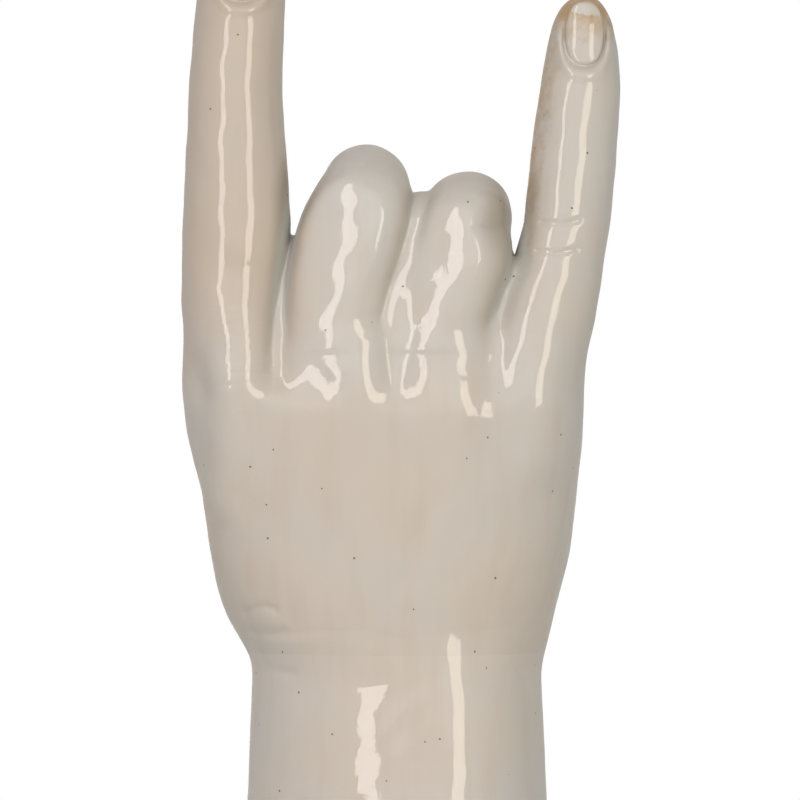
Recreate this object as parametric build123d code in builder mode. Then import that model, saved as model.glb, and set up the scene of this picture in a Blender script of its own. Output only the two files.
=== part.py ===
"""Glazed ceramic hand on a forearm, making the horned-hand gesture: fore and little fingers up,
the two middle fingers folded on the palm with the thumb laid across them.

The hand is built the way a slip caster builds one: hollow castings of the forearm, the palm and
each finger, luted to each other with slip before the firing. Millimetres, +Z up, origin in the
middle of the foot, on the surface that the hand stands on. -Y is the back of the hand and -X is
the side of the fore finger.
"""

import os
from math import copysign, cos, pi, sin

from build123d import *

os.makedirs("parts", exist_ok=True)

# Driving sizes of the forearm and its foot
felt_thickness = 2.0
forearm_length = 205.0
foot_width = 92.0
foot_depth = 80.0
wrist_width = 72.8
wrist_depth = 51.0
foot_edge_radius = 1.6
cast_wall = 5.5

# Driving sizes of the base disc and of the felt under it
base_disc_thickness = 6.0
peg_bore_radius = 9.0
felt_bore_radius = 11.0
felt_edge_inset = 2.4

# Driving sizes of the palm
palm_length = 90.0
palm_width = 101.0
palm_depth = 58.0
palm_wall = 6.5
knuckle_radius = 14.5

# Driving sizes of the two raised fingers
index_length = 113.0
index_width = 27.4
little_length = 91.5
little_width = 24.6
finger_wall = 4.5

# Driving sizes of the folded fingers and the thumb
middle_proximal_length = 49.0
middle_middle_length = 30.0
middle_end_length = 19.0
middle_radius = 13.1
ring_proximal_length = 43.5
ring_middle_length = 28.0
ring_end_length = 18.0
ring_radius = 12.7
thumb_proximal_length = 37.0
thumb_end_length = 36.0
thumb_radius = 12.6
air_hole_radius = 3.2

wrist_height = felt_thickness + forearm_length
outline_points = 12
circle_power = 2.0
bone_waist_share = 0.97


def oval_points(half_width, half_depth, power):
    """Points of a closed oval: an ellipse at power 2, and squarer above it."""
    turns = [2 * pi * i / outline_points for i in range(outline_points)]
    return [
        (
            half_width * copysign(abs(cos(t)) ** (2 / power), cos(t)),
            half_depth * copysign(abs(sin(t)) ** (2 / power), sin(t)),
        )
        for t in turns
    ]


def oval_section(left, right, back, front, height, power=circle_power):
    """A level oval face between the given left, right, back and front edges."""
    centre = ((left + right) / 2, (back + front) / 2, height)
    with BuildSketch(Plane(origin=centre)) as section:
        with BuildLine():
            Spline(*oval_points((right - left) / 2, (front - back) / 2, power), periodic=True)
        make_face()
    return section.sketch


def limb(joints, radii):
    """Rounded bones in a chain: a ball at each joint, and a slightly slimmer cone along each bone."""
    with BuildPart() as chain:
        for joint, radius in zip(joints, radii):
            with Locations(joint):
                Sphere(radius)
        for start, end, start_radius, end_radius in zip(joints, joints[1:], radii, radii[1:]):
            bone = end - start
            with Locations(Plane(origin=start, z_dir=bone)):
                Cone(
                    start_radius * bone_waist_share,
                    end_radius * bone_waist_share,
                    bone.length,
                    align=(Align.CENTER, Align.CENTER, Align.MIN),
                )
    return chain.part


def joint_chain(start, lengths, direction_shares):
    """The joints of a folded finger, from its knuckle to its tip. The directions of its bones are
    (across, towards the palm, up)."""
    joints = [Vector(*start)]
    for length, direction in zip(lengths, direction_shares):
        joints.append(joints[-1] + Vector(*direction).normalized() * length)
    return joints


# Forearm: a tapering oval tube, nearly round at the foot and flatter at the wrist. Each station is
# its height as a share of the length, and how far its width and depth have gone from foot to wrist.
forearm_station_shares = [
    (0.0, 0.0, 0.0),
    (0.25, 0.33, 0.24),
    (0.5, 0.62, 0.52),
    (0.75, 0.84, 0.8),
    (0.9, 0.95, 0.95),
    (1.0, 1.0, 1.0),
]


def forearm_ovals(inset):
    """The forearm's level sections, drawn in by the inset."""
    sections = []
    for height_share, width_share, depth_share in forearm_station_shares:
        half_width = (foot_width + (wrist_width - foot_width) * width_share) / 2 - inset
        half_depth = (foot_depth + (wrist_depth - foot_depth) * depth_share) / 2 - inset
        height = felt_thickness + forearm_length * height_share
        sections.append(oval_section(-half_width, half_width, -half_depth, half_depth, height))
    return sections


with BuildPart() as forearm_hollow:
    loft(forearm_ovals(cast_wall))

with BuildPart() as forearm:
    loft(forearm_ovals(0))
    fillet(forearm.edges().group_by(Axis.Z)[0], foot_edge_radius)
    add(forearm_hollow.part, mode=Mode.SUBTRACT)
forearm.part.label = "forearm"
export_step(forearm.part, "parts/forearm.step")

# Base disc: a slab luted inside the foot, flush with it, with a hole that drained the casting and
# now takes a display peg
with BuildPart() as base_disc:
    with BuildSketch(Plane.XY.offset(felt_thickness)):
        Rectangle(foot_width, foot_depth)
    extrude(amount=base_disc_thickness)
    add(forearm_hollow.part, mode=Mode.INTERSECT)
    with Locations((0, 0, felt_thickness + base_disc_thickness)):
        Hole(peg_bore_radius)
base_disc.part.label = "base_disc"
export_step(base_disc.part, "parts/base_disc.step")

# Felt base pad, glued under the foot and the disc
with BuildPart() as felt_base_pad:
    with BuildSketch():
        Ellipse(foot_width / 2 - felt_edge_inset, foot_depth / 2 - felt_edge_inset)
        Circle(felt_bore_radius, mode=Mode.SUBTRACT)
    extrude(amount=felt_thickness)
felt_base_pad.part.label = "felt_base_pad"
export_step(felt_base_pad.part, "parts/felt_base_pad.step")

# Palm: from the joint at the wrist to the webs of the fingers. Each station is its height as a
# share of the palm's length, its left and right edges as shares of the palm's width, its back and
# front edges as shares of the palm's depth, and its outline's power.
palm_station_shares = [
    (0.0, -0.3604, 0.3604, -0.4397, 0.4397, 2.0),
    (0.085, -0.41, 0.364, -0.438, 0.455, 2.05),
    (0.22, -0.4545, 0.4, -0.452, 0.46, 2.15),
    (0.39, -0.484, 0.425, -0.486, 0.4, 2.3),
    (0.55, -0.512, 0.447, -0.51, 0.31, 2.5),
    (0.7, -0.535, 0.4575, -0.51, 0.21, 3.0),
    (0.84, -0.542, 0.461, -0.48, 0.15, 3.6),
    (0.94, -0.535, 0.455, -0.4, 0.08, 3.4),
    (1.0, -0.48, 0.42, -0.33, 0.0, 2.8),
]
palm_hollow_top_share = 0.7


def palm_point(x_share, y_share, height_share):
    """A point in the palm's frame: shares of its width and depth, and of its length above the wrist."""
    return (palm_width * x_share, palm_depth * y_share, wrist_height + palm_length * height_share)


def palm_ovals(inset, top_share):
    """The palm's level sections up to a share of its length, drawn in by the inset."""
    sections = []
    for height_share, left_share, right_share, back_share, front_share, power in palm_station_shares:
        if height_share <= top_share:
            left, back, height = palm_point(left_share, back_share, height_share)
            right, front, height = palm_point(right_share, front_share, height_share)
            sections.append(
                oval_section(left + inset, right - inset, back + inset, front - inset, height, power)
            )
    return sections


# The four knuckles on the back of the hand, from the fore finger to the little finger
knuckle_place_shares = [
    (-0.37, -0.25, 0.72),
    (-0.165, -0.275, 0.735),
    (0.075, -0.27, 0.715),
    (0.305, -0.22, 0.69),
]
knuckles = [palm_point(*place) for place in knuckle_place_shares]
middle_knuckle, ring_knuckle = knuckles[1:3]

with BuildPart() as palm_solid:
    loft(palm_ovals(0, 1))
    with Locations(*knuckles):
        Sphere(knuckle_radius)

with BuildPart() as palm_hollow:
    loft(palm_ovals(palm_wall, palm_hollow_top_share))

# Fore finger, raised. Each station is its height as a share of the finger's length above its root,
# how far its centre has moved across and towards the palm, and its breadth and depth, all as shares
# of the finger's width.
index_root_shares = (-0.41, -0.224, 0.8)
index_root = palm_point(*index_root_shares)
index_station_shares = [
    (0.0, -0.01, 0.0, 0.97, 0.96),
    (0.14, 0.005, 0.0, 0.97, 0.94),
    (0.3, 0.035, 0.0, 0.976, 0.93),
    (0.42, 0.033, 0.005, 0.93, 0.9),
    (0.53, 0.024, 0.015, 0.88, 0.86),
    (0.6, 0.026, 0.025, 0.852, 0.83),
    (0.7, 0.042, 0.05, 0.825, 0.79),
    (0.8, 0.07, 0.08, 0.8, 0.76),
    (0.88, 0.085, 0.115, 0.735, 0.69),
    (0.94, 0.093, 0.145, 0.6, 0.56),
    (0.98, 0.095, 0.17, 0.36, 0.34),
    (1.0, 0.095, 0.18, 0.12, 0.11),
]

# Little finger, raised and leaning outwards, with the same kind of stations
little_root_shares = (0.34, -0.2, 0.8)
little_root = palm_point(*little_root_shares)
little_station_shares = [
    (0.0, 0.0, 0.0, 1.02, 1.04),
    (0.12, 0.08, 0.0, 0.97, 1.0),
    (0.25, 0.17, 0.01, 0.93, 0.95),
    (0.4, 0.26, 0.04, 0.895, 0.91),
    (0.56, 0.34, 0.07, 0.86, 0.86),
    (0.71, 0.42, 0.1, 0.83, 0.81),
    (0.8, 0.44, 0.12, 0.77, 0.75),
    (0.88, 0.455, 0.14, 0.68, 0.66),
    (0.94, 0.46, 0.15, 0.55, 0.53),
    (0.98, 0.46, 0.16, 0.36, 0.34),
    (1.0, 0.46, 0.16, 0.15, 0.14),
]
raised_hollow_top_share = 0.81


def raised_finger_ovals(root, length, width, station_shares, inset=0.0, top_share=1.0):
    """A raised finger's level sections up to a share of its length, drawn in by the inset."""
    sections = []
    for height_share, x_share, y_share, width_share, depth_share in station_shares:
        if height_share <= top_share:
            x = root[0] + width * x_share
            y = root[1] + width * y_share
            half_width = width * width_share / 2 - inset
            half_depth = width * depth_share / 2 - inset
            height = root[2] + length * height_share
            sections.append(
                oval_section(x - half_width, x + half_width, y - half_depth, y + half_depth, height)
            )
    return sections


def raised_finger_hollow(root, length, width, station_shares):
    """The hollow in a raised finger, a wall's thickness inside it."""
    return raised_finger_ovals(
        root, length, width, station_shares, finger_wall, raised_hollow_top_share
    )


with BuildPart() as index_solid:
    loft(raised_finger_ovals(index_root, index_length, index_width, index_station_shares))

with BuildPart() as little_solid:
    loft(raised_finger_ovals(little_root, little_length, little_width, little_station_shares))

# Folded fingers: the first bone stands up from the knuckle, and the other two come down on the
# palm's side
middle_direction_shares = [(0.17, 0.03, 0.98), (0.03, 0.84, -0.52), (0.03, 0.0, -1.0)]
middle_radius_shares = [1.12, 1.0, 0.86, 0.77]
middle_bones = [middle_proximal_length, middle_middle_length, middle_end_length]
middle_joints = joint_chain(middle_knuckle, middle_bones, middle_direction_shares)

ring_direction_shares = [(0.195, 0.04, 0.96), (-0.02, 0.84, -0.52), (-0.05, 0.0, -1.0)]
ring_radius_shares = [1.04, 1.0, 0.86, 0.77]
ring_bones = [ring_proximal_length, ring_middle_length, ring_end_length]
ring_joints = joint_chain(ring_knuckle, ring_bones, ring_direction_shares)

# Thumb: it comes off the ball of the palm and lies across the two folded fingers
thumb_place_shares = (-0.34, 0.13, 0.5)
thumb_direction_shares = [(0.42, 0.44, 0.79), (0.96, 0.03, 0.24)]
thumb_radius_shares = [1.05, 0.98, 0.8]
thumb_bones = [thumb_proximal_length, thumb_end_length]
thumb_joints = joint_chain(palm_point(*thumb_place_shares), thumb_bones, thumb_direction_shares)


def folded_solid(joints, radius, radius_shares):
    """The outside of a folded finger or of the thumb."""
    return limb(joints, [radius * share for share in radius_shares])


def folded_hollow(joints, radius, radius_shares):
    """The hollow in its first two bones, a wall's thickness inside them."""
    return limb(joints[:3], [radius * share - finger_wall for share in radius_shares[:3]])


middle_solid = folded_solid(middle_joints, middle_radius, middle_radius_shares)
ring_solid = folded_solid(ring_joints, ring_radius, ring_radius_shares)
thumb_solid = folded_solid(thumb_joints, thumb_radius, thumb_radius_shares)

# Air holes: every hollow has to breathe into the palm in the kiln. Each hole starts at a place in
# the palm's hollow and ends in the finger's.
air_hole_start_shares = [
    (-0.4, -0.2, 0.6),
    (0.3, -0.18, 0.6),
    (-0.165, -0.25, 0.6),
    (0.075, -0.25, 0.6),
    (-0.3, 0.0, 0.45),
]
air_hole_ends = [index_root, little_root, middle_joints[1], ring_joints[1], thumb_joints[1]]

with BuildPart() as air_holes:
    for start_shares, end in zip(air_hole_start_shares, air_hole_ends):
        start = Vector(*palm_point(*start_shares))
        way = Vector(*end) - start
        with BuildSketch(Plane(origin=start, z_dir=way)):
            Circle(air_hole_radius)
        extrude(amount=way.length)

# The castings of the hand, each cut back to the surface that it is luted to
with BuildPart() as palm:
    add(palm_solid.part)
    add([palm_hollow.part, air_holes.part], mode=Mode.SUBTRACT)
palm.part.label = "palm"
export_step(palm.part, "parts/palm.step")

with BuildPart() as index_finger:
    add(index_solid.part)
    loft(
        raised_finger_hollow(index_root, index_length, index_width, index_station_shares),
        mode=Mode.SUBTRACT,
    )
    add(palm_solid.part, mode=Mode.SUBTRACT)
index_finger.part.label = "index_finger"
export_step(index_finger.part, "parts/index_finger.step")

with BuildPart() as little_finger:
    add(little_solid.part)
    loft(
        raised_finger_hollow(little_root, little_length, little_width, little_station_shares),
        mode=Mode.SUBTRACT,
    )
    add(palm_solid.part, mode=Mode.SUBTRACT)
little_finger.part.label = "little_finger"
export_step(little_finger.part, "parts/little_finger.step")

with BuildPart() as middle_finger:
    add(middle_solid)
    add(folded_hollow(middle_joints, middle_radius, middle_radius_shares), mode=Mode.SUBTRACT)
    add([palm_solid.part, index_solid.part], mode=Mode.SUBTRACT)
middle_finger.part.label = "middle_finger"
export_step(middle_finger.part, "parts/middle_finger.step")

with BuildPart() as ring_finger:
    add(ring_solid)
    add(folded_hollow(ring_joints, ring_radius, ring_radius_shares), mode=Mode.SUBTRACT)
    add([palm_solid.part, middle_solid, little_solid.part], mode=Mode.SUBTRACT)
ring_finger.part.label = "ring_finger"
export_step(ring_finger.part, "parts/ring_finger.step")

with BuildPart() as thumb:
    add(thumb_solid)
    add(folded_hollow(thumb_joints, thumb_radius, thumb_radius_shares), mode=Mode.SUBTRACT)
    add([palm_solid.part, middle_solid, ring_solid, index_solid.part], mode=Mode.SUBTRACT)
thumb.part.label = "thumb"
export_step(thumb.part, "parts/thumb.step")
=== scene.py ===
import math

import bpy
import numpy as np
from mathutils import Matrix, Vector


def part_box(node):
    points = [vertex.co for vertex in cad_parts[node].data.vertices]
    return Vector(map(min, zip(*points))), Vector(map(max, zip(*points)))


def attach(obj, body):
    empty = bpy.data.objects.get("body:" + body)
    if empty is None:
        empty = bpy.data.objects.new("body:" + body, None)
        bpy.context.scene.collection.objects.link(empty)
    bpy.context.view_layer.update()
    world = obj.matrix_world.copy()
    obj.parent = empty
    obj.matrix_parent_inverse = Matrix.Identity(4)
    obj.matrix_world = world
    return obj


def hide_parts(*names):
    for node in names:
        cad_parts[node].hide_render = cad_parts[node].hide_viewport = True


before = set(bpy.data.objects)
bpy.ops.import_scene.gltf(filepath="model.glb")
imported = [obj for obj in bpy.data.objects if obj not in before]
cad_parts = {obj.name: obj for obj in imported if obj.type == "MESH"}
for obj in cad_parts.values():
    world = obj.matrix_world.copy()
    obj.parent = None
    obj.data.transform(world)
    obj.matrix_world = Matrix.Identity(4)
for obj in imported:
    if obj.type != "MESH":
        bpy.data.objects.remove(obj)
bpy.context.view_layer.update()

# The clay is worked in millimetres, in the same axes as the frame: -Y is the back of the hand, -X
# the fore finger's side, +Z up. It turns to metres when a mesh is made.
millimetre = 0.001
handCell = 0.8       # size of the cubes that the hand's surface is wrapped in
finerWhere = ((14, 11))      # degrees that a square turns through before it is split
fineStep, broadStep = 0.2, 2.5         # over what distance the surface's slope is read
# what a slip casting this size has. The wall is full where the soundings' depths lie that far
# inside the clay
wall = {"thickness": 4.0, "least": 1.0, "foot": 5.5, "soundings": ((4.0, -1.2), (1.5, -0.7))}


# small tools for shaping clay
def join(a, b, blend):
    # two lumps of clay thumbed together over a width of blend
    share = np.clip(0.5 + 0.5 * (b - a) / blend, 0, 1)
    return b + (a - b) * share - blend * share * (1 - share)


def trim(a, b, blend):
    # clay a cut back to where b is solid too, with a softened edge
    return -join(-a, -b, blend)


def fair(stations, spread):
    # stations from the bottom up, joined in straight runs and then eased, so none shows as a ring
    stations = np.array(stations, float)
    step = 0.5
    reach = int(3 * spread / step)
    heights = np.arange(stations[0, 0] - 6 * spread, stations[-1, 0] + 6 * spread, step)
    weights = np.exp(-0.5 * (np.arange(-reach, reach + 1) * step / spread) ** 2)
    weights /= weights.sum()
    columns = [heights[reach:-reach]]
    for column in stations.T[1:]:
        values = np.interp(heights, stations[:, 0], column)
        startSlope = (column[1] - column[0]) / (stations[1, 0] - stations[0, 0])
        endSlope = (column[-1] - column[-2]) / (stations[-1, 0] - stations[-2, 0])
        values += startSlope * np.minimum(heights - stations[0, 0], 0)
        values += endSlope * np.maximum(heights - stations[-1, 0], 0)
        columns.append(np.convolve(values, weights, mode="valid"))
    return np.array(columns)


def bend(joints, steps=5):
    # the joints of a folded finger, each x, y, z and radius, as one even curve
    joints = np.array(joints, float)
    ends = np.vstack([2 * joints[0] - joints[1], joints, 2 * joints[-1] - joints[-2]])
    curve = []
    for a, b, c, d in zip(ends, ends[1:], ends[2:], ends[3:]):
        for t in np.linspace(0, 1, steps, endpoint=False):
            curve.append(b + 0.5 * ((c - a) * t + (2 * a - 5 * b + 4 * c - d) * t**2
                                    + (3 * b - a - 3 * c + d) * t**3))
    curve.append(joints[-1])
    return np.array(curve)


def limb(p, curve, reach=12.0):
    # distance to a round limb along the curve, and just reach where it is further off
    radius = curve[:, 3].max() + reach
    low, high = curve[:, :3].min(0) - radius, curve[:, :3].max(0) + radius
    near = ((p > low[:, None]) & (p < high[:, None])).all(0)
    q = p[:, near]
    best = np.full(q.shape[1], float(reach))
    for a, b in zip(curve, curve[1:]):
        run = b[:3] - a[:3]
        offset = q - a[:3, None]
        share = np.clip(run @ offset / (run @ run), 0, 1)
        offset -= run[:, None] * share
        np.minimum(best, np.sqrt((offset**2).sum(0)) - a[3] - (b[3] - a[3]) * share, out=best)
    distance = np.full(p.shape[1], float(reach))
    distance[near] = best
    return distance


def shaft(p, table, ridge, thickness):
    # a raised finger: an oval at each height, with its ridge moved aside, and a domed tip
    x, y, z = p
    centre = np.interp(z, table[0], table[1])
    size = np.interp(z, table[0], table[2])
    sizeSlope = np.interp(z, table[0], np.gradient(table[2], table[0]))
    depth = np.interp(z, table[0], table[3])
    across = x - centre - ridge * np.sqrt(np.maximum(size, 0))
    side = np.where(across < 0, 1 + ridge, 1 - ridge)
    u, v = across / side, (y - depth) / thickness
    slope = np.sqrt((2 * u / side) ** 2 + (2 * v / thickness) ** 2 + sizeSlope**2)
    return (u * u + v * v - size) / np.maximum(slope, 0.5)


def ovalBody(p, table):
    # the forearm and the palm: at each height an oval with its own ridge and squareness
    x, y, z = p
    left, right, ridge, back, middle, front, power = (np.interp(z, table[0], c) for c in table[1:])
    side = np.where(x < ridge, ridge - left, right - ridge)
    thick = np.where(y < middle, middle - back, front - middle)
    u, v = np.abs(x - ridge) / side, np.abs(y - middle) / thick
    size = np.maximum((u**power + v**power) ** (1 / power), 0.05)
    slope = np.hypot((u / size) ** (power - 1) / side, (v / size) ** (power - 1) / thick)
    return (size - 1) / slope


def lineDistance(across, up, line):
    # distance in the front view to a line of points
    best = np.full(across.shape, 1e3)
    for (ax, az), (bx, bz) in zip(line, line[1:]):
        runX, runZ = bx - ax, bz - az
        share = np.clip(((across - ax) * runX + (up - az) * runZ) / (runX**2 + runZ**2), 0, 1)
        np.minimum(best, np.hypot(across - ax - runX * share, up - az - runZ * share), out=best)
    return best


# forearm and palm
forearmAndPalm = {
    # height, left, right, ridge, back, widest line, front, squareness
    "stations": [
        (0.0, -46.0, 46.0, 6.0, -39.8, 4.0, 39.8, 2.0),
        (53.0, -43.0, 42.8, 7.0, -36.8, 4.0, 36.4, 2.0),
        (104.0, -40.2, 39.8, 8.0, -32.9, 4.0, 32.2, 2.0),
        (156.0, -38.7, 37.6, 8.5, -28.9, 5.0, 28.2, 2.0),
        (182.5, -37.8, 36.2, 8.5, -27.2, 5.5, 26.8, 2.0),
        (196.0, -37.3, 35.6, 8.5, -26.1, 5.0, 26.0, 2.0),
        (203.0, -36.9, 35.2, 7.0, -25.5, 4.0, 25.6, 2.0),
        (207.5, -38.3, 35.9, 4.0, -25.4, 3.0, 25.8, 2.1),
        (213.0, -41.6, 36.9, 1.0, -25.3, 2.0, 26.0, 2.2),
        (216.0, -43.2, 37.6, 0.5, -25.5, 1.5, 26.1, 2.2),
        (221.0, -45.1, 39.0, 0.0, -26.1, 1.0, 26.2, 2.3),
        (232.0, -47.4, 42.0, -1.0, -27.4, -1.0, 25.0, 2.4),
        (245.0, -49.2, 43.3, -2.0, -28.4, -3.0, 21.5, 2.5),
        (257.5, -51.9, 44.8, -3.0, -28.9, -6.0, 17.0, 2.75),
        (264.0, -53.2, 45.3, -3.0, -29.3, -7.5, 14.0, 2.95),
        (268.5, -53.7, 45.4, -3.0, -29.2, -8.3, 12.2, 3.05),
        (273.5, -53.9, 45.3, -3.0, -26.6, -9.0, 10.0, 3.1),
        (278.0, -53.5, 45.0, -3.0, -24.4, -9.5, 8.5, 3.1),
        (284.0, -52.4, 44.4, -3.0, -22.0, -10.0, 7.0, 3.0),
        (293.0, -50.0, 43.5, -3.0, -20.0, -11.0, 4.5, 2.8),
        (306.0, -48.0, 42.5, -3.0, -18.5, -11.0, 2.0, 2.8),
    ],
    "spread": 2.2,
    "roof": {"height": 297.0, "tilt": 0.3, "blend": 9.0},     # the palm's end under the fingers
    # a nearly flat side on the back of the forearm, cut with a very wide cylinder: x, y, z, radius
    "flat": np.array([(29.5, 82.8, -20, 130), (29.5, 94.2, 100, 130), (29.5, 98.5, 156, 130),
                      (28.5, 100.3, 181, 130), (21.0, 102.9, 195, 130), (12.0, 84.0, 228, 130),
                      (12.0, 84.0, 420, 130)], float),
    "flatBlend": 0.6,
    # ball of the thumb and heel of the hand: x, y, z, radius
    "thumbMound": bend([(-17, 5, 216, 14.5), (-23, 8, 228, 16.5), (-30, 11, 244, 15),
                        (-34, 13, 256, 12.6)]),
    "thumbMoundBlend": 9.0,
    "heelMound": bend([(20, 5, 216, 14.5), (24, 7, 232, 15), (28, 4, 250, 13), (31, 0, 266, 11)]),
    "heelMoundBlend": 8.0,
}
bodyTable = fair(forearmAndPalm["stations"], forearmAndPalm["spread"])

# raised fingers. Stations: height, centre across, half width (under zero past the tip), centre in
# depth. A web is the clay smeared into the groove beside a finger. A nail has where the middle of
# the plate lies, the way along it, the way out of it, its half width and half length, and how round
# it is
indexFinger = {
    "stations": [
        (252, -43.0, -6.0, -10.0), (260, -43.0, 4.0, -10.6),
        (268, -43.0, 7.4, -12.0), (276, -42.6, 10.0, -13.5),
        (285, -42.2, 11.4, -14.0), (295, -41.6, 12.6, -14.2),
        (305, -40.9, 13.2, -14.2), (313.7, -40.5, 13.3, -14.0),
        (320, -40.6, 12.95, -14.0), (326.2, -40.5, 12.75, -13.9),
        (332.5, -40.7, 12.5, -13.7), (338.7, -40.75, 12.05, -13.4),
        (345, -40.75, 11.8, -13.2), (351.2, -40.6, 11.6, -12.9),
        (357.5, -40.3, 11.3, -12.5), (363.7, -40.0, 11.2, -12.0),
        (370, -39.5, 11.0, -11.4), (376, -39.2, 10.4, -10.8),
        (381.5, -39.0, 9.3, -10.2), (386, -38.9, 7.4, -9.7),
        (389.5, -38.8, 4.9, -9.4), (391.6, -38.8, -1.2, -9.2),
        (396, -38.8, -7.0, -9.0),
    ],
    "spread": 1.2, "lean": -0.03, "thickness": 0.98,
    "knuckle": bend([(-39.0, -13.0, 248, 8.0), (-39.2, -19.0, 262, 8.0), (-39.8, -21.6, 273, 8.0),
                     (-40.4, -18.9, 284, 9.8), (-41.0, -16.0, 295, 11.0)]),
    "web": bend([(-31.5, -15.5, 266, 8.5), (-29.4, -15.4, 281, 8.0), (-28.4, -15.0, 290, 6.5),
                 (-27.2, -13.2, 299.7, 5.0), (-25.8, -11.8, 306, 4.5)]),
    "nail": {"at": (-38.9, -21.4, 377.0), "along": (0.02, 0.10, 1.0), "out": (0, -1, 0.10),
             "half": (5.6, 8.4), "radius": 8.6},
}
littleFinger = {
    "stations": [
        (250, 27.0, -6.0, -10.0), (258, 28.6, 8.5, -10.5),
        (266, 30.0, 11.0, -11.6), (276, 32.0, 11.8, -12.2),
        (285, 34.3, 12.1, -12.3), (295, 37.1, 12.1, -12.2),
        (305, 39.5, 11.3, -12.0), (313.7, 41.45, 10.8, -11.8),
        (320, 42.05, 10.75, -11.5), (326.2, 42.75, 10.75, -11.1),
        (332.5, 43.3, 10.5, -10.7), (338.7, 43.9, 10.4, -10.2),
        (345, 44.5, 10.15, -9.7), (351.2, 45.05, 9.6, -9.2),
        (357.5, 45.4, 8.85, -8.7), (363.7, 45.6, 7.4, -8.2),
        (367.5, 45.6, 5.5, -7.9), (370.0, 45.6, 2.9, -7.8),
        (370.7, 45.6, -1.4, -7.7), (376, 45.6, -7.5, -7.5),
    ],
    "spread": 1.0, "lean": -0.10, "thickness": 1.0,
    "knuckle": bend([(29.0, -14.0, 258, 12.0), (30.6, -15.6, 271, 12.4), (32.8, -14.2, 281, 12.4),
                     (35.6, -12.6, 291, 12.0)]),
    "web": bend([(24.0, -17.0, 268, 6.0), (21.6, -16.8, 277, 6.4), (21.4, -15.6, 284, 6.4),
                 (23.0, -13.6, 292, 6.0), (25.8, -11.5, 299, 5.0)]),
    "nail": {"at": (45.7, -17.6, 360.9), "along": (0.02, 0.13, 1.0), "out": (0.02, -1, 0.13),
             "half": (4.7, 7.9), "radius": 8.2},
}


def fingerTable(finger):
    rows = np.array(finger["stations"], float)
    rows[:, 2] = np.sign(rows[:, 2]) * rows[:, 2] ** 2
    return fair(rows, finger["spread"])


indexTable = fingerTable(indexFinger)
littleTable = fingerTable(littleFinger)

# folded fingers and thumb: x, y, z, radius, from the knuckle to the tip. The flat is a wide, nearly
# flat side, where a thumb was drawn down the finger
middleFinger = {
    "curve": bend([
        (-19.0, -9.0, 256, 12.0), (-20.2, -12.0, 266, 12.0), (-19.6, -13.6, 274, 13.0),
        (-18.2, -14.7, 280, 13.8), (-16.8, -15.0, 284.5, 14.2), (-14.2, -16.2, 300, 14.1),
        (-11.4, -17.1, 310.5, 13.8), (-9.2, -16.6, 317.0, 12.8), (-8.6, -9.5, 321.2, 11.4),
        (-8.5, -3.0, 322.3, 11.0), (-8.0, 4.5, 317.2, 11.1), (-7.5, 9.8, 308.5, 11.1),
        (-7.2, 11.8, 300, 11.0), (-7.0, 12.2, 292, 10.7), (-6.8, 10.8, 285.5, 9.6),
    ]),
    "flat": bend([(-13.6, 15.9, 256, 46), (0.9, 15.9, 316, 46)]),
    "knuckle": bend([(-11.5, -15.4, 261, 12.0), (-11.4, -17.7, 272.5, 12.5),
                     (-11.8, -17.3, 282, 12.4)]),
    "web": bend([
        (-2.0, -16.8, 266, 8.6), (-1.4, -17.4, 275, 9.0), (-0.4, -17.5, 282.9, 9.0),
        (0.5, -16.8, 288.9, 9.0), (2.6, -15.6, 298.9, 9.0), (4.4, -15.6, 308, 8.0),
        (5.3, -15.4, 314.2, 6.4), (5.7, -8.0, 315.2, 6.4), (5.6, -2.0, 314.8, 6.4),
        (5.4, 6.0, 305, 7.2), (5.0, 9.0, 295, 7.6),
    ]),
    "nail": {"at": (-6.9, 22.3, 289.6), "along": (0, -0.12, -1.0), "out": (0, 1, -0.12),
             "half": (5.2, 6.4), "radius": 9.0},
}
ringFinger = {
    "curve": bend([
        (5.6, -11.0, 256, 12.0), (6.0, -12.9, 266, 12.8), (6.5, -13.9, 273, 13.3),
        (7.3, -14.6, 279, 13.5), (8.2, -15.2, 284.5, 13.5), (13.0, -16.4, 300, 13.2),
        (15.0, -17.0, 306.5, 12.9), (16.0, -16.1, 312.2, 12.0), (16.6, -8.5, 315.2, 11.3),
        (16.8, -3.0, 315.6, 11.0), (16.4, 4.5, 310, 11.0), (16.1, 8.6, 303, 10.8),
        (15.8, 10.6, 296, 10.6), (15.4, 11.2, 288.5, 10.4), (15.0, 10.2, 281.5, 9.3),
    ]),
    "flat": bend([(11.6, 15.9, 256, 46), (29.4, 15.9, 316, 46)]),
    # a steeper side that faces the little finger
    "side": np.array([(-18.0, 7.0, 230, 60), (-21.0, 8.0, 286, 60), (-26.9, 11.3, 298, 60),
                      (-25.9, 11.6, 345, 60)], float),
    "sideBlend": 2.0,
    "knuckle": bend([(11.2, -11.4, 258, 16.0), (11.0, -13.6, 268, 16.5), (12.0, -12.2, 279, 16.2)]),
    "nail": {"at": (15.2, 21.0, 285.0), "along": (0, -0.12, -1.0), "out": (0, 1, -0.12),
             "half": (5.0, 6.2), "radius": 8.8},
}
flatBlend = 1.2
thumb = {
    "curve": bend([
        (-33.0, 8.0, 246, 14.5), (-33.5, 13.5, 258, 13.6), (-28.5, 20.0, 269.5, 12.6),
        (-21.5, 24.3, 278.5, 12.4), (-12.0, 26.0, 284.0, 12.3), (-1.0, 26.2, 287.0, 11.6),
        (9.0, 25.6, 289.2, 10.8), (16.0, 24.8, 290.4, 9.0),
    ]),
    "nail": {"at": (9.5, 36.6, 290.2), "along": (1.0, -0.10, 0.10), "out": (0.1, 1, 0.12),
             "half": (6.2, 8.0), "radius": 9.5},
}
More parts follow.
